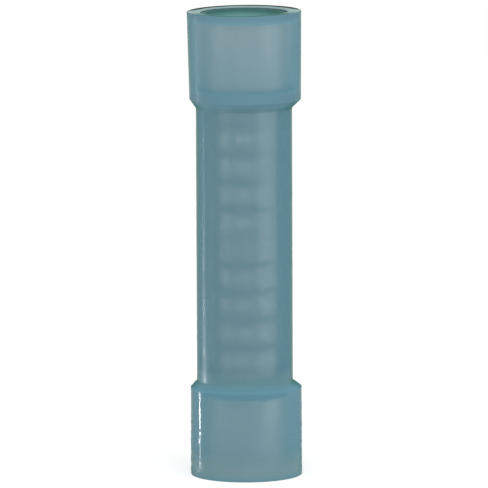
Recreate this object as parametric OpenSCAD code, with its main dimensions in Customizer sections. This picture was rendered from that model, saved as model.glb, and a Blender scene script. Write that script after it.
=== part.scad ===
// Insulated butt splice that joins two wires end to end.
// A nylon tube with belled ends holds a tin-plated crimp barrel in its middle
// and a thin sleeve in each bell that is crimped on the wire's insulation.
// The splice stands on its lower rim. The origin is the centre of that rim and
// +Z runs up the axis of the tube. All sizes are in millimetres.

/* [Crimp barrel] */
// Bore for the stripped conductor
barrel_bore = 2.3; // [1.8:0.1:3]
// Wall of the barrel
barrel_wall = 0.65; // [0.45:0.05:1]
// Length of the barrel
barrel_length = 15.3; // [14.7:0.1:24]
// Distance of the barrel's middle above the middle of the tube
barrel_lift = 0.16; // [0:0.02:0.3]
// Grip grooves rolled on each side of the wire stop
grooves_per_side = 4; // [1:1:4]
// Spacing of the grip grooves
groove_pitch = 1.55; // [1.35:0.05:1.6]
// Share of that spacing that a grip groove takes
groove_share = 0.94; // [0.3:0.02:0.96]
// Depth of one grip groove
groove_depth = 0.11; // [0.04:0.01:0.2]
// Share of the plain middle taken by the ring that stops the wires
stop_share = 0.9; // [0.5:0.05:0.95]
// Depth of that ring outside
stop_dip = 0.03; // [0.02:0.01:0.16]
// Height of that ring in the bore
stop_height = 0.25; // [0.1:0.05:0.4]
// Lead-in bevel at each mouth of the bore
mouth_bevel = 0.35; // [0.1:0.05:0.4]
// Rounding of the barrel's outer edges
barrel_round = 0.08; // [0.02:0.02:0.1]

/* [Insulation sleeves] */
// Bore for the wire's insulation
sleeve_bore = 4.36; // [4.2:0.02:5.4]
// Wall of a sleeve
sleeve_wall = 0.22; // [0.14:0.02:0.4]
// Length of a sleeve
sleeve_length = 4.35; // [3:0.05:7]
// Rounding of a sleeve's edges
sleeve_round = 0.06; // [0.02:0.01:0.06]
// Depth of a sleeve below its rim
rim_recess = 0.15; // [0.1:0.05:1.2]

/* [Nylon housing] */
// Wall of the plain middle
body_wall = 0.855; // [0.5:0.005:1]
// Wall of the bells
bell_wall = 0.68; // [0.45:0.01:1]
// Widening of the upper bell's outside towards its rim, on the diameter
upper_flare = 0.16; // [0:0.02:0.4]
// Widening of the lower bell's outside towards its rim, on the diameter
lower_flare = 0.02; // [0:0.02:0.4]
// Length of the funnel between a sleeve and the barrel
funnel_length = 0.85; // [0.5:0.05:1.5]
// Distance from a sleeve's seat to the start of the outer shoulder
shoulder_drop = 0.42; // [0.2:0.02:0.6]
// Length of the upper bell's outer shoulder along the axis
upper_shoulder = 0.49; // [0.3:0.01:1]
// Length of the lower bell's outer shoulder along the axis
lower_shoulder = 0.37; // [0.3:0.01:1]
// Rounding of the shoulder's edges
shoulder_round = 0.07; // [0.04:0.01:0.15]
// Rounding of the rims
rim_round = 0.06; // [0.02:0.01:0.2]

/* [Fits] */
// Gap between the metal pieces and the nylon around them
slip_gap = 0.02; // [0.01:0.01:0.06]

/* [Hidden] */

// Steps round a turned piece, along a rounded edge and across a rolled dip
turn_steps = 128;
edge_steps = 5;
dip_steps = 10;

// Radii of the barrel, the sleeves and the nylon around them
bore_r = barrel_bore / 2;
barrel_r = bore_r + barrel_wall;
body_bore_r = barrel_r + slip_gap;
body_r = body_bore_r + body_wall;
sleeve_bore_r = sleeve_bore / 2;
sleeve_r = sleeve_bore_r + sleeve_wall;
bell_bore_r = sleeve_r + slip_gap;
bell_r = bell_bore_r + bell_wall;

// Widths of a grip groove and of the wire stop
groove_width = groove_share * groove_pitch;
stop_width = stop_share * (2 * groove_pitch - groove_width);

// Heights, counted from the lower rim
seat_depth = rim_recess + sleeve_length;
bore_start = seat_depth + funnel_length;
bore_end = bore_start + barrel_length;
overall_length = bore_end + bore_start;
barrel_start = bore_start + barrel_lift;
barrel_end = bore_end + barrel_lift;
barrel_middle = (barrel_start + barrel_end) / 2;
bell_length = seat_depth + shoulder_drop;
body_start = bell_length + lower_shoulder;
body_end = overall_length - bell_length - upper_shoulder;

nylon_blue = "#6f94a3";
tinned_copper = "#bdbcb8";
tinned_brass = "#c3c0b6";

// The arc that rounds one corner of an outline, or the corner itself where its radius is 0
function direction(v) = v / norm(v);
function corner_arc(before, corner, after, radius) =
    radius == 0 ? [corner] :
    let (
        back = direction(before - corner),
        ahead = direction(after - corner),
        half = acos(back * ahead) / 2,
        centre = corner + direction(back + ahead) * radius / sin(half),
        first = corner + back * radius / tan(half) - centre,
        last = corner + ahead * radius / tan(half) - centre
    )
    [for (i = [0:edge_steps])
        centre + radius * direction(first * (edge_steps - i) + last * i)];

// A closed outline from corners given as [radius from the axis, height, rounding]
function place(corner) = [corner[0], corner[1]];
function rounded(corners) =
    let (count = len(corners))
    [for (i = [0:count - 1])
        each corner_arc(
            place(corners[(i + count - 1) % count]),
            place(corners[i]),
            place(corners[(i + 1) % count]),
            corners[i][2]
        )];

// A smooth dip towards the axis in a wall at radius r, from its lower end to its upper end
function dip(r, height, width, depth) = [
    for (i = [0:dip_steps])
        [
            r - depth * (1 - cos(360 * i / dip_steps)) / 2,
            height + width * (i / dip_steps - 1 / 2),
            0
        ]
];

// The outside of the barrel from bottom to top: grip grooves, with the wire stop between them
function rolled_outside() = [
    for (k = [-grooves_per_side:grooves_per_side])
        each k == 0 ?
            dip(barrel_r, barrel_middle, stop_width, stop_dip) :
            dip(barrel_r, barrel_middle + k * groove_pitch, groove_width, groove_depth)
];

function reversed(list) = [for (i = [len(list) - 1:-1:0]) list[i]];

module turned(corners) {
    rotate_extrude($fn = turn_steps)
        polygon(rounded(corners));
}

module housing() {
    color(nylon_blue)
        turned([
            [bell_r + lower_flare / 2, 0, rim_round],
            [bell_r, bell_length, shoulder_round],
            [body_r, body_start, shoulder_round],
            [body_r, body_end, shoulder_round],
            [bell_r, overall_length - bell_length, shoulder_round],
            [bell_r + upper_flare / 2, overall_length, rim_round],
            [bell_bore_r, overall_length, rim_round],
            [bell_bore_r, overall_length - seat_depth, 0],
            [body_bore_r, bore_end, 0],
            [body_bore_r, bore_start, 0],
            [bell_bore_r, seat_depth, 0],
            [bell_bore_r, 0, rim_round]
        ]);
}

module crimp_barrel() {
    color(tinned_copper)
        turned(concat(
            [[barrel_r, barrel_start, barrel_round]],
            rolled_outside(),
            [
                [barrel_r, barrel_end, barrel_round],
                [bore_r + mouth_bevel, barrel_end, 0],
                [bore_r, barrel_end - mouth_bevel, 0]
            ],
            reversed(dip(bore_r, barrel_middle, stop_width, stop_height)),
            [
                [bore_r, barrel_start + mouth_bevel, 0],
                [bore_r + mouth_bevel, barrel_start, 0]
            ]
        ));
}

module sleeve(seat) {
    color(tinned_brass)
        turned([
            [sleeve_r, seat, sleeve_round],
            [sleeve_r, seat + sleeve_length, sleeve_round],
            [sleeve_bore_r, seat + sleeve_length, sleeve_round],
            [sleeve_bore_r, seat, sleeve_round]
        ]);
}

module upper_sleeve() {
    sleeve(overall_length - seat_depth);
}

module lower_sleeve() {
    sleeve(rim_recess);
}

housing();
crimp_barrel();
upper_sleeve();
lower_sleeve();
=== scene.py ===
import math

import bpy
from mathutils import Matrix, Vector


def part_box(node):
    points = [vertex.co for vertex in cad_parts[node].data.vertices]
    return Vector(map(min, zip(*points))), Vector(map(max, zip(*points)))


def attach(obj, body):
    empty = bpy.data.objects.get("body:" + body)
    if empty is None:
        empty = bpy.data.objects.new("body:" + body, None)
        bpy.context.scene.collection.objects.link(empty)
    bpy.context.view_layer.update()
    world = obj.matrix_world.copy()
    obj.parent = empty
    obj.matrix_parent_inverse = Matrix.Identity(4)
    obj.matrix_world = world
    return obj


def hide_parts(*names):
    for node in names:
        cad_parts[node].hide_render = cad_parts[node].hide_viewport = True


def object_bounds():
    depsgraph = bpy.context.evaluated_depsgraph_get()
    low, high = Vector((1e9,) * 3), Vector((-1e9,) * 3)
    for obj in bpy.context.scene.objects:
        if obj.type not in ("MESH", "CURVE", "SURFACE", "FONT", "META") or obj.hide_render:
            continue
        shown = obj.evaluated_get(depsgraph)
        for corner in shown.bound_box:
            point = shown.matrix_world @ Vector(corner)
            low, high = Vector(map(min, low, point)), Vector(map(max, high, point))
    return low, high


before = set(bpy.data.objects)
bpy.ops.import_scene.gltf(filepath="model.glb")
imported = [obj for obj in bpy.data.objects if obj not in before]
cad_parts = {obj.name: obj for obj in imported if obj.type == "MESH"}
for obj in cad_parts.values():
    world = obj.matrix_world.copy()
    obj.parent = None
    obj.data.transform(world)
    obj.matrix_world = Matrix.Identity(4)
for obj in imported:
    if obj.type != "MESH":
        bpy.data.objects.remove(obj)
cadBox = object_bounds()
mm = 0.001
spliceLength = (cadBox[1].z - cadBox[0].z) / mm
print("frame loaded:", ", ".join(sorted(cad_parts)))

# a Mix node's sockets for numbers and for colours
numberA, numberB = 2, 3
colourA, colourB, colourOut = 6, 7, 2


# one sRGB hex value to the linear colour that a shader takes
def hexColour(text):
    parts = [int(text[i:i + 2], 16) / 255 for i in (1, 3, 5)]
    linear = [c / 12.92 if c <= 0.04045 else ((c + 0.055) / 1.055) ** 2.4 for c in parts]
    return (*linear, 1)


# adds a node, sets its properties, and fills or links its sockets
def addNode(tree, kind, sockets=None, **settings):
    node = tree.nodes.new(kind)
    for name, value in settings.items():
        setattr(node, name, value)
    for socket, value in (sockets or {}).items():
        if isinstance(value, bpy.types.NodeSocket):
            tree.links.new(value, node.inputs[socket])
        else:
            node.inputs[socket].default_value = value
    return node


def newMaterial(name):
    material = bpy.data.materials.new(name)
    material.use_nodes = True
    material.node_tree.nodes.clear()
    return material, material.node_tree


# a point's place on the piece in mm, as one vector and by its axes, and its distance from the splice's axis
def measurePoint(tree):
    coordinates = addNode(tree, "ShaderNodeTexCoord")
    place = addNode(tree, "ShaderNodeMapping", {
        "Vector": coordinates.outputs["Object"], "Scale": (1 / mm, 1 / mm, 1 / mm)})
    axes = addNode(tree, "ShaderNodeSeparateXYZ", {0: place.outputs[0]})
    across = addNode(tree, "ShaderNodeCombineXYZ", {"X": axes.outputs["X"], "Y": axes.outputs["Y"]})
    radius = addNode(tree, "ShaderNodeVectorMath", {0: across.outputs[0]}, operation="LENGTH")
    return place.outputs[0], axes.outputs, radius.outputs["Value"]


# the nylon's finish; sizes in mm, heights from the lower rim, and a pair gives both ends of a range
skin = {
    "milk": "#6da2b3",
    "bellMilk": "#7bb2c4",  # stretched thinner, and so a little paler
    "denseMilk": "#7aa5b7",  # thick spots of the bells
    "edgeMilk": "#3f8873",  # sides of the tube, where the look goes through more of it
    "bellEdgeMilk": "#528f90",
    # the bore and the mouth's recess: darker and greener, as painted shade
    "boreShadeMilk": "#60978f",
    # paler milk low on the lower bell and over the lower shoulder: painted light that lifts the shade there
    "paintedLightMilk": "#8fb5bd",
    "lipMilkAndHighlight": "#a9cbc9",  # the cut face; paler at the back, as a painted highlight
    "rimEdgeShade": "#1f3a35",  # its outer lip, looked along: painted shade
    "milkByHeight": [
        (0.1, 2.2), (0.5, 1.7), (1.6, 1.05), (4.3, 1.05), (4.7, 1.4), (4.95, 1.5),
        (5.2, 2.0), (5.4, 2.0), (5.65, 1.6), (6.1, 1.2), (20.84, 1.2),
        (21.04, 3), (21.5, 3), (21.7, 1.05), (25.45, 0.75), (25.75, 3),
    ],
    "milkiest": 3.0,
    "bareBore": [(0, 1), (0.15, 0), (4.5, 1), (5.51, 0), (20.81, 1), (21.5, 0), (25.85, 1)],
    # where that painted light goes, by height
    "paintedLightByHeight": [
        (0.05, 0.2), (0.4, 1), (0.7, 1), (1.7, 0), (5.05, 0), (5.35, 0.5), (5.75, 0.5), (6.2, 0),
    ],
    "dullByHeight": [
        (4.88, 0), (4.93, 1), (5.3, 1), (5.36, 0), (20.5, 0), (20.58, 1), (21.08, 1), (21.14, 0),
    ],
    "skinRadii": [2.43, 2.46],  # between the bore and the outer skin
    "bellRadii": [2.75, 3.0],
    "faceRadii": [3.13, 3.1],  # where the cut face ends, short of the rim's side
    "lipRadii": [2.5, 2.6],  # where its outer lip starts
    "polishHeights": [4.92, 4.82],
    "cutHeights": [25.86, 25.89],
    "cutFrontToBack": [-2.0, -0.5],
    "cutDull": [0.45, 0.08],  # at the front and at the back
    # a little pale at the front, and paler at the back as a painted highlight
    "cutPaleBackHighlight": [0.1, 1.0],
    "lipCurve": 0.14,
    "thickMilk": [1.5, 3.0],  # milkiness that counts as a thick spot
    "deepFacing": [0.6, 0.9],  # 0 is looked at straight on, 1 is edgewise
    "lipFacing": [0.9, 0.94],
    "slantLimit": 1.02,  # a little over 1 keeps the way through the wall finite
    "grainSize": 0.4,
    "grainHeight": 0.0015,
    "grainSpread": [0.43, 0.57],
    "satin": [0.2, 0.32],
    "polish": 0.05,
    "pressedRipple": 0.12,
    "shoulderDull": 0.4,
    "scuffSize": 0.14,
    "scuffStretch": (0.15, 0.15, 1),
    "scuffDetail": 1.0,
    "scuffSpread": [0.48, 0.52],
    "scuffRoughness": 0.5,
    "wearHeights": [0.4, 4.3],
    "wear": [0.0, -0.14],  # added to the scuffs' noise
    "ior": 1.53,
    "specularLevel": 0.03,
}


# what the shader asks about a point of the nylon: its place, and how far it is bell, bore, polished or cut
def readNylon(tree):
    place, axes, radius = measurePoint(tree)
    point = {"place": place, "z": axes["Z"], "radius": radius}
    tilt = math.radians(skew["rimTilt"])
    cutHeight = addNode(tree, "ShaderNodeVectorMath", {
        0: place, 1: (-math.tan(tilt), 0, 1)}, operation="DOT_PRODUCT")
    spans = {
        "outside": (radius, skin["skinRadii"]),
        "belled": (radius, skin["bellRadii"]),
        "onFace": (radius, skin["faceRadii"]),
        "onLip": (radius, skin["lipRadii"]),
        "polished": (axes["Z"], skin["polishHeights"]),
        "cut": (cutHeight.outputs["Value"], skin["cutHeights"]),
    }
    for name, (value, (start, end)) in spans.items():
        mask = addNode(tree, "ShaderNodeMapRange", {"Value": value, "From Min": start, "From Max": end})
        point[name] = mask.outputs[0]
    frontStart, backStart = skin["cutFrontToBack"]
    for name in ("cutDull", "cutPaleBackHighlight"):
        front, back = skin[name]
        blend = addNode(tree, "ShaderNodeMapRange", {
            "Value": axes["Y"], "From Min": frontStart, "From Max": backStart,
            "To Min": front, "To Max": back})
        point[name] = blend.outputs[0]
    # ramps over the splice's length, each as a share of its highest value
    along = addNode(tree, "ShaderNodeMath", {0: axes["Z"], 1: spliceLength}, operation="DIVIDE")
    ramps = {"milkByHeight": skin["milkiest"], "bareBore": 1, "paintedLightByHeight": 1, "dullByHeight": 1}
    for name, most in ramps.items():
        node = addNode(tree, "ShaderNodeValToRGB", {0: along.outputs[0]})
        ramp = node.color_ramp
        ramp.interpolation = "CONSTANT" if name == "bareBore" else "LINEAR"
        for height, value in skin[name]:
            stop = ramp.elements.new(height / spliceLength)
            level = value / most
            stop.color = (level, level, level, 1)
        ramp.elements.remove(ramp.elements[0])
        ramp.elements.remove(ramp.elements[-1])
        point[name] = node.outputs[0]
    grain = addNode(tree, "ShaderNodeTexNoise", {"Vector": place, "Scale": 1 / skin["grainSize"]})
    point["grain"] = grain.outputs[0]
    return point


# ripples that the die leaves, about 0.4 mm apart; the lower bell's mandrel has pressed most of them out, and
# the outer lip of the cut end rounds off
def nylonNormal(tree, point):
    rippled = addNode(tree, "ShaderNodeMapRange", {
        "Value": point["polished"], "To Min": 1.0, "To Max": skin["pressedRipple"]})
    ripple = addNode(tree, "ShaderNodeBump", {
        "Height": point["grain"], "Strength": rippled.outputs[0], "Distance": skin["grainHeight"] * mm})
    overLip = addNode(tree, "ShaderNodeMath", {
        0: point["radius"], 1: skin["lipRadii"][0]}, operation="SUBTRACT")
    overLip = addNode(tree, "ShaderNodeMath", {0: overLip.outputs[0], 1: 0}, operation="MAXIMUM")
    drop = addNode(tree, "ShaderNodeMath", {0: overLip.outputs[0], 1: 2}, operation="POWER")
    drop = addNode(tree, "ShaderNodeMath", {0: drop.outputs[0], 1: -skin["lipCurve"]}, operation="MULTIPLY")
    lip = addNode(tree, "ShaderNodeBump", {
        "Height": drop.outputs[0], "Strength": point["cut"], "Distance": mm, "Normal": ripple.outputs[0]})
    return lip.outputs[0]


# the outer lip of the cut, where it is looked along: a dark line is painted there as shade, for the dark that
# a clear edge shows
def nylonShadedLipEdge(tree, point, normal):
    lookedAlong = addNode(tree, "ShaderNodeLayerWeight", {"Normal": normal})
    start, end = skin["lipFacing"]
    edge = addNode(tree, "ShaderNodeMapRange", {
        "Value": lookedAlong.outputs["Facing"], "From Min": start, "From Max": end})
    for mask in ("onLip", "cut"):
        edge = addNode(tree, "ShaderNodeMath", {0: edge.outputs[0], 1: point[mask]}, operation="MULTIPLY")
    return edge.outputs[0]


# a satin skin; the lower bell is polished and scuffed again, most towards its rim, the mandrel's edge leaves
# the shoulders matte, and the blade leaves the cut end dull at the front
def nylonRoughness(tree, point, shadedLipEdge):
    satin = addNode(tree, "ShaderNodeMapRange", {
        "Value": point["grain"], "From Min": skin["grainSpread"][0], "From Max": skin["grainSpread"][1],
        "To Min": skin["satin"][0], "To Max": skin["satin"][1]})
    stretched = addNode(tree, "ShaderNodeMapping", {"Vector": point["place"], "Scale": skin["scuffStretch"]})
    scuff = addNode(tree, "ShaderNodeTexNoise", {
        "Vector": stretched.outputs[0], "Scale": 1 / skin["scuffSize"], "Detail": skin["scuffDetail"]})
    wear = addNode(tree, "ShaderNodeMapRange", {
        "Value": point["z"], "From Min": skin["wearHeights"][0], "From Max": skin["wearHeights"][1],
        "To Min": skin["wear"][0], "To Max": skin["wear"][1]})
    scuff = addNode(tree, "ShaderNodeMath", {0: scuff.outputs[0], 1: wear.outputs[0]}, operation="ADD")
    bell = addNode(tree, "ShaderNodeMapRange", {
        "Value": scuff.outputs[0], "From Min": skin["scuffSpread"][0], "From Max": skin["scuffSpread"][1],
        "To Min": skin["polish"], "To Max": skin["scuffRoughness"]})
    roughness = addNode(tree, "ShaderNodeMix", {
        "Factor": point["polished"], numberA: satin.outputs[0], numberB: bell.outputs[0]}, data_type="FLOAT")
    roughness = addNode(tree, "ShaderNodeMath", {
        0: point["dullByHeight"], 1: skin["shoulderDull"], 2: roughness.outputs[0]}, operation="MULTIPLY_ADD")
    roughness = addNode(tree, "ShaderNodeMath", {
        0: point["cut"], 1: point["cutDull"], 2: roughness.outputs[0]}, operation="MULTIPLY_ADD")
    roughness = addNode(tree, "ShaderNodeMath", {0: roughness.outputs[0], 1: shadedLipEdge}, operation="ADD")
    return roughness.outputs[0]


# milkiness of the wall by height: least where metal backs it, and none in the bore where metal lies on it
def nylonMilk(tree, point):
    share = addNode(tree, "ShaderNodeMix", {
        "Factor": point["outside"], numberA: point["bareBore"], numberB: point["milkByHeight"]},
        data_type="FLOAT")
    milk = addNode(tree, "ShaderNodeMath", {0: share.outputs[0], 1: skin["milkiest"]}, operation="MULTIPLY")
    return milk.outputs[0]


# the milk's colours, laid over one another from the bore outwards to the lip, with painted shade, light and
# highlight among them
def nylonTint(tree, point, milk, facing, shadedLipEdge):
    dense = addNode(tree, "ShaderNodeMapRange", {
        "Value": milk, "From Min": skin["thickMilk"][0], "From Max": skin["thickMilk"][1]})
    dense = addNode(tree, "ShaderNodeMath", {0: dense.outputs[0], 1: point["belled"]}, operation="MULTIPLY")
    deep = addNode(tree, "ShaderNodeMapRange", {
        "Value": facing, "From Min": skin["deepFacing"][0], "From Max": skin["deepFacing"][1]})
    # the cut face's pale colour, a painted highlight at its back
    face = addNode(tree, "ShaderNodeMath", {0: point["onFace"], 1: point["cut"]}, operation="MULTIPLY")
    face = addNode(tree, "ShaderNodeMath", {0: face.outputs[0], 1: point["cutPaleBackHighlight"]}, operation="MULTIPLY")
    wall, side = [addNode(tree, "ShaderNodeMix", {
        "Factor": point["belled"], colourA: hexColour(skin[tube]), colourB: hexColour(skin[bell])},
        data_type="RGBA")
        for tube, bell in (("milk", "bellMilk"), ("edgeMilk", "bellEdgeMilk"))]
    layers = [
        (point["outside"], wall.outputs[colourOut]),
        (dense.outputs[0], hexColour(skin["denseMilk"])),
        # painted light low down
        (point["paintedLightByHeight"], hexColour(skin["paintedLightMilk"])),
        (deep.outputs[0], side.outputs[colourOut]),
        (face.outputs[0], hexColour(skin["lipMilkAndHighlight"])),
        # painted shade on the outer lip
        (shadedLipEdge, hexColour(skin["rimEdgeShade"])),
    ]
    # it starts from the bore's painted shade
    tint = hexColour(skin["boreShadeMilk"])
    for share, colour in layers:
        layer = addNode(tree, "ShaderNodeMix", {
            "Factor": share, colourA: tint, colourB: colour}, data_type="RGBA")
        tint = layer.outputs[colourOut]
    return tint


# nylon 6/6, extruded as a tube and belled on a hot mandrel: a blue-green body that is milky with crystals, so
# the metal shows through it only faintly, under a satin skin
def makeNylon():
    material, tree = newMaterial("translucent nylon")
    point = readNylon(tree)
    normal = nylonNormal(tree, point)
    shadedLipEdge = nylonShadedLipEdge(tree, point, normal)
    roughness = nylonRoughness(tree, point, shadedLipEdge)
    milk = nylonMilk(tree, point)
    # a slanting look goes through more of the wall
    facing = addNode(tree, "ShaderNodeLayerWeight").outputs["Facing"]
    straight = addNode(tree, "ShaderNodeMath", {0: skin["slantLimit"], 1: facing}, operation="SUBTRACT")
    depth = addNode(tree, "ShaderNodeMath", {0: milk, 1: straight.outputs[0]}, operation="DIVIDE")
    passed = addNode(tree, "ShaderNodeMath", {0: math.exp(-1), 1: depth.outputs[0]}, operation="POWER")
    body = addNode(tree, "ShaderNodeBsdfPrincipled", {
        "Base Color": nylonTint(tree, point, milk, facing, shadedLipEdge),
        "Roughness": roughness,
        "IOR": skin["ior"],
        "Specular IOR Level": skin["specularLevel"],
        "Normal": normal,
    })
    clear = addNode(tree, "ShaderNodeBsdfTransparent")
    both = addNode(tree, "ShaderNodeMixShader", {
        0: passed.outputs[0], 1: body.outputs[0], 2: clear.outputs[0]})
    addNode(tree, "ShaderNodeOutputMaterial", {"Surface": both.outputs[0]})
    print(material.name, "mixed:", len(tree.nodes), "nodes")
    return material


# the plating, in mm; heights of the mouth's painted shade from the splice's middle, those of the lower
# sleeve's painted shade from the lower rim
plate = {
    "colour": "#dddbd6",
    "roughness": [0.34, 0.5],
    "mottleSize": 0.9,
    "mottleDetail": 4.0,
    "mottleSpread": [0.3, 0.7],
    "mottleShade": [0.9, 1.0],
    "boreDull": 0.35,
    "mouthHeights": [12.35, 12.85],
    "lowerSleeveShadeHeights": [4.6, 5.4],
    "lowerSleeveShade": [0.82, 1.0],
    "grainSize": 0.12,
    "grainStretch": (0.2, 0.2, 1),
    "grainHeight": 0.0015,
}
metals = {
    # the inside's colour; the brass sleeves' teal is a painted reflection of the nylon, and mouth is painted
    # shade
    "tinned copper": {"bore": "#b9a78f", "mouth": "#b9a78f", "boreRadius": 1.6},
    "tinned brass": {"bore": "#a3d7d2", "mouth": "#4d7d76", "boreRadius": 2.395},
}


# matte electroplated tin on rolled metal: a pale satin grey whose grain runs round the piece; inside, where
# the bath hardly reaches, it is dull. The brass sleeves' bore has a painted teal reflection of the nylon,
# darkened towards the mouth as painted shade
def makeTin(name):
    s = metals[name]
    material, tree = newMaterial(name)
    place, axes, radius = measurePoint(tree)
    inside = addNode(tree, "ShaderNodeMath", {0: radius, 1: s["boreRadius"]}, operation="LESS_THAN")
    fromMiddle = addNode(tree, "ShaderNodeMath", {0: axes["Z"], 1: spliceLength / 2}, operation="SUBTRACT")
    fromMiddle = addNode(tree, "ShaderNodeMath", {0: fromMiddle.outputs[0]}, operation="ABSOLUTE")
    mouth = addNode(tree, "ShaderNodeMapRange", {
        "Value": fromMiddle.outputs[0],
        "From Min": plate["mouthHeights"][0], "From Max": plate["mouthHeights"][1]})
    bore = addNode(tree, "ShaderNodeMix", {
        "Factor": mouth.outputs[0], colourA: hexColour(s["bore"]), colourB: hexColour(s["mouth"])},
        data_type="RGBA")
    tone = addNode(tree, "ShaderNodeMix", {
        "Factor": inside.outputs[0], colourA: hexColour(plate["colour"]), colourB: bore.outputs[colourOut]},
        data_type="RGBA")
    # the bath leaves it mottled, and the lower sleeve is darkened a little as painted shade
    mottle = addNode(tree, "ShaderNodeTexNoise", {
        "Vector": place, "Scale": 1 / plate["mottleSize"], "Detail": plate["mottleDetail"]})
    shade = addNode(tree, "ShaderNodeMapRange", {
        "Value": mottle.outputs[0],
        "From Min": plate["mottleSpread"][0], "From Max": plate["mottleSpread"][1],
        "To Min": plate["mottleShade"][0], "To Max": plate["mottleShade"][1]})
    lowerSleeveShade = addNode(tree, "ShaderNodeMapRange", {
        "Value": axes["Z"], "From Min": plate["lowerSleeveShadeHeights"][0], "From Max": plate["lowerSleeveShadeHeights"][1],
        "To Min": plate["lowerSleeveShade"][0], "To Max": plate["lowerSleeveShade"][1]})
    for darker in (shade, lowerSleeveShade):
        tone = addNode(tree, "ShaderNodeMix", {
            "Factor": 1.0, colourA: tone.outputs[colourOut], colourB: darker.outputs[0]},
            data_type="RGBA", blend_type="MULTIPLY")
    roughness = addNode(tree, "ShaderNodeMapRange", {
        "Value": mottle.outputs[0],
        "From Min": plate["mottleSpread"][0], "From Max": plate["mottleSpread"][1],
        "To Min": plate["roughness"][0], "To Max": plate["roughness"][1]})
    roughness = addNode(tree, "ShaderNodeMath", {
        0: inside.outputs[0], 1: plate["boreDull"], 2: roughness.outputs[0]}, operation="MULTIPLY_ADD")
    # rolling lines: noise drawn out round the axis, coarser than the real ones so that it shows
    stretched = addNode(tree, "ShaderNodeMapping", {"Vector": place, "Scale": plate["grainStretch"]})
    lines = addNode(tree, "ShaderNodeTexNoise", {
        "Vector": stretched.outputs[0], "Scale": 1 / plate["grainSize"]})
    grain = addNode(tree, "ShaderNodeBump", {
        "Height": lines.outputs[0], "Distance": plate["grainHeight"] * mm})
    shader = addNode(tree, "ShaderNodeBsdfPrincipled", {
        "Base Color": tone.outputs[colourOut],
        "Metallic": 1,
        "Roughness": roughness.outputs[0],
        "Normal": grain.outputs[0],
    })
    addNode(tree, "ShaderNodeOutputMaterial", {"Surface": shader.outputs[0]})
    print(material.name, "mixed:", len(tree.nodes), "nodes")
    return material


turning = {
    "arcSteps": 6,
    "weldDistance": 0.001,  # mm
    "smoothAngle": 40,  # degrees
}


# a closed outline of (radius, height, rounding) corners in mm, with an arc at each rounded corner; hold puts
# a point that far beside each arc, which keeps the shine on the wall next to it straight
def roundedOutline(corners, hold=0):
    steps = turning["arcSteps"]
    points = []
    for i, (r, z, rounding) in enumerate(corners):
        corner = Vector((r, z))
        if not rounding:
            points.append(corner)
            continue
        back = (Vector(corners[i - 1][:2]) - corner).normalized()
        ahead = (Vector(corners[(i + 1) % len(corners)][:2]) - corner).normalized()
        half = back.angle(ahead) / 2
        centre = corner + (back + ahead).normalized() * rounding / math.sin(half)
        first = corner + back * rounding / math.tan(half) - centre
        last = corner + ahead * rounding / math.tan(half) - centre
        arc = [centre + first.lerp(last, k / steps).normalized() * rounding for k in range(steps + 1)]
        if hold:
            arc = [arc[0] + back * hold, *arc, arc[-1] + ahead * hold]
        points += arc
    return points


# draws an outline with one vertex that is extruded from corner to corner, then spins it round the axis
def turnPiece(name, outline, spinSteps):
    bpy.ops.object.select_all(action="DESELECT")
    start = Vector((outline[0].x * mm, 0, outline[0].y * mm))
    bpy.ops.mesh.primitive_plane_add(size=mm, location=start)
    piece = bpy.context.object
    piece.name = piece.data.name = name
    bpy.ops.object.mode_set(mode="EDIT")
    bpy.ops.mesh.select_all(action="SELECT")
    bpy.ops.mesh.merge(type="CENTER")
    closed = outline + outline[:1]
    for here, there in zip(closed, closed[1:]):
        step = (there - here) * mm
        bpy.ops.mesh.extrude_region_move(TRANSFORM_OT_translate={"value": (step.x, 0, step.y)})
    bpy.ops.mesh.select_all(action="SELECT")
    bpy.ops.mesh.spin(steps=spinSteps, angle=2 * math.pi, center=(0, 0, 0), axis=(0, 0, 1))
    bpy.ops.mesh.select_all(action="SELECT")
    bpy.ops.mesh.remove_doubles(threshold=turning["weldDistance"] * mm)
    bpy.ops.mesh.normals_make_consistent(inside=False)
    bpy.ops.object.mode_set(mode="OBJECT")
    bpy.ops.object.transform_apply(location=True, rotation=True, scale=True)
    bpy.ops.object.shade_smooth_by_angle(angle=math.radians(turning["smoothAngle"]))
    print(name, "turned:", len(piece.data.polygons), "faces")
    return piece


def finishPiece(piece, node, material):
    piece.data.materials.clear()
    piece.data.materials.append(material)
    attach(piece, "root")
    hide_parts(node)


# lower and upper corner of a solid, in mm
def nodeBox(node):
    low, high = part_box(node)
    return low / mm, high / mm


# the housing's walls and steps, in mm
housingSizes = {
    "bodyRadius": 2.675,
    "bellRadius": 3.1,
    "upperRim": 3.178,
    "lowerRim": 3.108,
    "bodyBore": 1.82,
    "bellBore": 2.42,
    "bellLength": 4.92,
    "upperShoulder": 0.49,
    "lowerShoulder": 0.37,
    "seatDepth": 4.5,
    "funnelLength": 0.85,
    "shoulderRound": 0.07,
    "rimRound": 0.06,
    "mouthRound": 0.14,
    "hold": 0.04,
    "spinSteps": 192,
}


def makeHousing():
    s = housingSizes
    top = nodeBox("housing")[1].z
    funnel = s["seatDepth"] + s["funnelLength"]
    outline = roundedOutline([
        (s["lowerRim"], 0, s["rimRound"]),
        (s["bellRadius"], s["bellLength"], s["shoulderRound"]),
        (s["bodyRadius"], s["bellLength"] + s["lowerShoulder"], s["shoulderRound"]),
        (s["bodyRadius"], top - s["bellLength"] - s["upperShoulder"], s["shoulderRound"]),
        (s["bellRadius"], top - s["bellLength"], s["shoulderRound"]),
        (s["upperRim"], top, s["rimRound"]),
        (s["bellBore"], top, s["mouthRound"]),
        (s["bellBore"], top - s["seatDepth"], 0),
        (s["bodyBore"], top - funnel, 0),
        (s["bodyBore"], funnel, 0),
        (s["bellBore"], s["seatDepth"], 0),
        (s["bellBore"], 0, s["rimRound"]),
    ], s["hold"])
    return turnPiece("nylonHousing", outline, s["spinSteps"])


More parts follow.
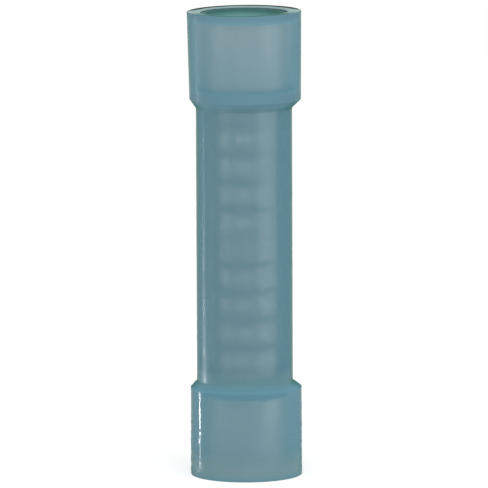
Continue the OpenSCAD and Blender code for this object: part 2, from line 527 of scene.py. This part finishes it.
# selects the vertices that a test on radius and height in mm picks, and leaves the piece in edit mode
def selectWhere(piece, test):
    bpy.ops.object.select_all(action="DESELECT")
    bpy.context.view_layer.objects.active = piece
    piece.select_set(True)
    bpy.ops.object.mode_set(mode="EDIT")
    bpy.ops.mesh.select_mode(type="VERT")
    bpy.ops.mesh.select_all(action="DESELECT")
    bpy.ops.object.mode_set(mode="OBJECT")
    for vertex in piece.data.vertices:
        x, y, z = vertex.co / mm
        vertex.select = test(math.hypot(x, y), z)
    bpy.ops.object.mode_set(mode="EDIT")


# as made, in mm and degrees: the bells sit a hair to the right of the tube, and the upper rim is set back to
# the left and cut askew
skew = {
    "bellShift": 0.05,
    "bodyShift": -0.02,
    "rimShift": -0.05,
    "rimTilt": 0.5,
    "skinRadius": 2.64,  # the outer skin lies farther out than this
    "lowerStep": 5.1,
    "upperStep": 20.85,
    "rimStart": 25.8,
}


def skewHousing(piece):
    s = skew
    moves = [
        (s["bellShift"], lambda r, z: r > s["skinRadius"] and not s["lowerStep"] < z < s["upperStep"]),
        (s["bodyShift"], lambda r, z: r > s["skinRadius"] and s["lowerStep"] < z < s["upperStep"]),
        (s["rimShift"], lambda r, z: r > s["skinRadius"] and z > s["rimStart"]),
    ]
    for shift, test in moves:
        selectWhere(piece, test)
        bpy.ops.transform.translate(value=(shift * mm, 0, 0))
        bpy.ops.object.mode_set(mode="OBJECT")
    selectWhere(piece, lambda r, z: z > s["rimStart"])
    hinge = (cadBox[1].x, 0, cadBox[1].z)
    bpy.ops.transform.rotate(value=math.radians(s["rimTilt"]), orient_axis="Y", center_override=hinge)
    bpy.ops.object.mode_set(mode="OBJECT")
    print(piece.name, "skewed: rim tilted by", s["rimTilt"], "degrees")


# the barrel, in mm
barrelSizes = {
    "radius": 1.8,
    "bore": 1.15,
    "bevel": 0.35,
    "edgeRound": 0.08,
    "groovesPerSide": 4,
    "groovePitch": 1.55,
    "grooveWidth": 1.457,
    "grooveDepth": 0.11,
    "stopWidth": 1.479,
    "stopDip": 0.03,
    "stopHeight": 0.25,
    "dipSteps": 16,
    "spinSteps": 160,
}


# a smooth rolled dip in a wall, from its lower to its upper end
def rolledDip(radius, height, width, depth, steps):
    return [
        (radius - depth * (1 - math.cos(2 * math.pi * k / steps)) / 2, height + width * (k / steps - 0.5), 0)
        for k in range(steps + 1)
    ]


def makeBarrel():
    s = barrelSizes
    low, high = nodeBox("crimp_barrel")
    middle = (low.z + high.z) / 2
    outside = []
    for k in range(-s["groovesPerSide"], s["groovesPerSide"] + 1):
        width, depth = (s["grooveWidth"], s["grooveDepth"]) if k else (s["stopWidth"], s["stopDip"])
        outside += rolledDip(s["radius"], middle + k * s["groovePitch"], width, depth, s["dipSteps"])
    inside = rolledDip(s["bore"], middle, s["stopWidth"], s["stopHeight"], s["dipSteps"])
    outline = roundedOutline([
        (s["radius"], low.z, s["edgeRound"]),
        *outside,
        (s["radius"], high.z, s["edgeRound"]),
        (s["bore"] + s["bevel"], high.z, 0),
        (s["bore"], high.z - s["bevel"], 0),
        *reversed(inside),
        (s["bore"], low.z + s["bevel"], 0),
        (s["bore"] + s["bevel"], low.z, 0),
    ])
    return turnPiece("crimpBarrel", outline, s["spinSteps"])


# both sleeves, in mm
sleeveSizes = {
    "radius": 2.4,
    "bore": 2.18,
    "edgeRound": 0.06,
    "spinSteps": 160,
}


def makeSleeve(name, node):
    s = sleeveSizes
    low, high = nodeBox(node)
    outline = roundedOutline([
        (s["radius"], low.z, s["edgeRound"]),
        (s["radius"], high.z, s["edgeRound"]),
        (s["bore"], high.z, s["edgeRound"]),
        (s["bore"], low.z, s["edgeRound"]),
    ])
    return turnPiece(name, outline, s["spinSteps"])


nylon = makeNylon()
tinnedCopper = makeTin("tinned copper")
tinnedBrass = makeTin("tinned brass")

housing = makeHousing()
skewHousing(housing)
finishPiece(housing, "housing", nylon)
barrel = makeBarrel()
finishPiece(barrel, "crimp_barrel", tinnedCopper)
upperSleeve = makeSleeve("upperSleeve", "upper_sleeve")
finishPiece(upperSleeve, "upper_sleeve", tinnedBrass)
lowerSleeve = makeSleeve("lowerSleeve", "lower_sleeve")
finishPiece(lowerSleeve, "lower_sleeve", tinnedBrass)

# a collection for each piece, so that a lamp can light that piece alone
lit = {}
for piece in (housing, barrel, upperSleeve, lowerSleeve):
    lit[piece.name] = bpy.data.collections.new("lit " + piece.name)
    lit[piece.name].objects.link(piece)

# the white studio; the floor's size in m, its gap under the rim in mm
studio = {
    "paper": "#f2f2f2",
    "floorSize": 1.2,
    "floorGap": 0.01,
    "floorGlow": 0.53,
    "worldWhite": 1.0,
    "worldFill": 0.42,
}


# 1 for the rays that show the background: straight to the camera, in a mirror or through glass
def seenRays(tree):
    path = addNode(tree, "ShaderNodeLightPath").outputs
    seen = path["Is Camera Ray"]
    for ray in ("Is Glossy Ray", "Is Transmission Ray"):
        seen = addNode(tree, "ShaderNodeMath", {0: seen, 1: path[ray]}, operation="MAXIMUM").outputs[0]
    return seen


# white paper: matte, and lifted to white where it is seen, so that only the shadow shows on it
def makeFloor():
    bpy.ops.object.select_all(action="DESELECT")
    bpy.ops.mesh.primitive_plane_add(size=studio["floorSize"], location=(0, 0, -studio["floorGap"] * mm))
    floor = bpy.context.object
    floor.name = "floor"
    material, tree = newMaterial("white paper")
    strength = addNode(tree, "ShaderNodeMath", {
        0: seenRays(tree), 1: studio["floorGlow"]}, operation="MULTIPLY")
    paper = addNode(tree, "ShaderNodeBsdfDiffuse", {"Color": hexColour(studio["paper"])})
    glow = addNode(tree, "ShaderNodeEmission", {"Strength": strength.outputs[0]})
    both = addNode(tree, "ShaderNodeAddShader", {0: paper.outputs[0], 1: glow.outputs[0]})
    addNode(tree, "ShaderNodeOutputMaterial", {"Surface": both.outputs[0]})
    floor.data.materials.append(material)


def makeWorld():
    world = bpy.data.worlds.new("studio")
    bpy.context.scene.world = world
    world.use_nodes = True
    tree = world.node_tree
    tree.nodes.clear()
    strength = addNode(tree, "ShaderNodeMapRange", {
        "Value": seenRays(tree), "To Min": studio["worldFill"], "To Max": studio["worldWhite"]})
    sky = addNode(tree, "ShaderNodeBackground", {"Color": (1, 1, 1, 1), "Strength": strength.outputs[0]})
    addNode(tree, "ShaderNodeOutputWorld", {"Surface": sky.outputs[0]})


# lamps by azimuth and elevation round the splice, sizes in m; azimuth 0 is the camera's side and + is to the
# right. The softbox lights everything, and each white card is for one metal piece alone
lamps = {
    "softbox": {
        "azimuth": 8, "elevation": 44, "distance": 0.6, "width": 1.0, "height": 0.36, "radiance": 1.5},
    "cardFront": {
        "lights": "crimpBarrel",
        "azimuth": -4, "elevation": 22, "distance": 0.2, "width": 0.22, "height": 0.05, "radiance": 1.9},
    "cardLeft": {
        "lights": "crimpBarrel",
        "azimuth": -76, "elevation": 20, "distance": 0.045, "width": 0.03, "height": 0.05, "radiance": 1.5},
    "cardRight": {
        "lights": "crimpBarrel",
        "azimuth": 102, "elevation": 4, "distance": 0.024, "width": 0.06, "height": 0.06, "radiance": 1.65},
    "cardLeftHigh": {
        "lights": "upperSleeve",
        "azimuth": -72, "elevation": 10, "distance": 0.045, "width": 0.03, "height": 0.04, "radiance": 0.4},
    "cardRightHigh": {
        "lights": "upperSleeve",
        "azimuth": 80, "elevation": 10, "distance": 0.045, "width": 0.05, "height": 0.04, "radiance": 0.65},
    "cardLeftLow": {
        "lights": "lowerSleeve",
        "azimuth": -76, "elevation": 10, "distance": 0.045, "width": 0.03, "height": 0.04, "radiance": 1.95},
    "cardRightLow": {
        "lights": "lowerSleeve",
        "azimuth": 78, "elevation": 10, "distance": 0.045, "width": 0.05, "height": 0.04, "radiance": 3.3},
}


def addLamp(name, s, place, turn):
    light = bpy.data.lights.new(name, "AREA")
    light.shape = "RECTANGLE"
    light.size = s["width"]
    light.size_y = s["height"]
    light.energy = s["radiance"] * math.pi * s["width"] * s["height"]
    lamp = bpy.data.objects.new(name, light)
    lamp.location = place
    lamp.rotation_mode = "QUATERNION"
    lamp.rotation_quaternion = turn
    lamp.visible_camera = False
    bpy.context.scene.collection.objects.link(lamp)
    if "lights" in s:
        lamp.light_linking.receiver_collection = lit[s["lights"]]
    return lamp


def makeLamps():
    target = Vector((0, 0, spliceLength / 2 * mm))
    for name, s in lamps.items():
        a = math.radians(s["azimuth"])
        e = math.radians(s["elevation"])
        away = Vector((math.sin(a) * math.cos(e), -math.cos(a) * math.cos(e), math.sin(e)))
        addLamp(name, s, target + away * s["distance"], (-away).to_track_quat("-Z", "Y"))


# thin strips of light that lie on the paper and run out from the splice, behind it on the left: the nylon
# mirrors them as its bright streak. "from" is the place on the skin where the streak shows, in mm, and the
# other sizes are in m
streaks = {
    "streakBellLow": {
        "lights": "nylonHousing", "from": (-2.6, -1.69), "azimuth": -113.5,
        "start": 0.001, "width": 0.0007, "height": 0.01, "radiance": 30.0},
    "streakBellMid": {
        "lights": "nylonHousing", "from": (-2.6, -1.69), "azimuth": -113.5,
        "start": 0.011, "width": 0.0019, "height": 0.009, "radiance": 75.0},
    "streakBellHigh": {
        "lights": "nylonHousing", "from": (-2.6, -1.69), "azimuth": -113.5,
        "start": 0.02, "width": 0.0034, "height": 0.014, "radiance": 72.0},
    "streakBody": {
        "lights": "nylonHousing", "from": (-2.27, -1.41), "azimuth": -116,
        "start": 0.034, "width": 0.005, "height": 0.144, "radiance": 40.0},
    "streakUpper": {
        "lights": "nylonHousing", "from": (-2.6, -1.66), "azimuth": -115,
        "start": 0.18, "width": 0.02, "height": 0.08, "radiance": 14.0},
}
stripLift = 0.2  # mm above the lower rim


def makeStreaks():
    down = Vector((0, 0, -1))
    for name, s in streaks.items():
        a = math.radians(s["azimuth"])
        out = Vector((math.sin(a), -math.cos(a), 0))
        start = Vector((*s["from"], stripLift)) * mm
        turn = Matrix((out.cross(down), out, down)).transposed().to_quaternion()
        lamp = addLamp(name, s, start + out * (s["start"] + s["height"] / 2), turn)
        lamp.visible_diffuse = False


# the photograph's view: from afar and a little above, with the splice almost filling the frame; the distance
# and the clip are in m, the angles in degrees and the sensor in mm
view = {
    "framePixels": 488,
    "pixelsPerMm": 17.97,
    "distance": 0.42,
    "elevation": 8.0,
    "roll": -0.22,
    "axisPixel": 244.83,
    "middlePixel": 242.75,
    "sensor": 36,
    "clip": [0.01, 10],
}


def makeCamera():
    s = view
    centre = s["framePixels"] / 2
    e = math.radians(s["elevation"])
    back = Vector((0, -math.cos(e), math.sin(e)))
    aim = (cadBox[0] + cadBox[1]) / 2
    aim.x -= (s["axisPixel"] - centre) / s["pixelsPerMm"] * mm
    aim.z += (s["middlePixel"] - centre) / s["pixelsPerMm"] * mm
    data = bpy.data.cameras.new("camera")
    data.sensor_width = s["sensor"]
    data.lens = s["pixelsPerMm"] / mm * s["distance"] * s["sensor"] / s["framePixels"]
    data.clip_start, data.clip_end = s["clip"]
    camera = bpy.data.objects.new("camera", data)
    place = Matrix.Translation(aim + back * s["distance"])
    turn = (-back).to_track_quat("-Z", "Y").to_matrix().to_4x4()
    roll = Matrix.Rotation(math.radians(s["roll"]), 4, "Z")
    camera.matrix_world = place @ turn @ roll
    bpy.context.scene.collection.objects.link(camera)
    bpy.context.scene.camera = camera


makeFloor()
makeWorld()
makeLamps()
makeStreaks()
print("studio lit:", len(lamps), "lamps and", len(streaks), "strips")
makeCamera()
bpy.context.scene.view_settings.view_transform = "Standard"
print("camera set:", view["distance"], "m away")
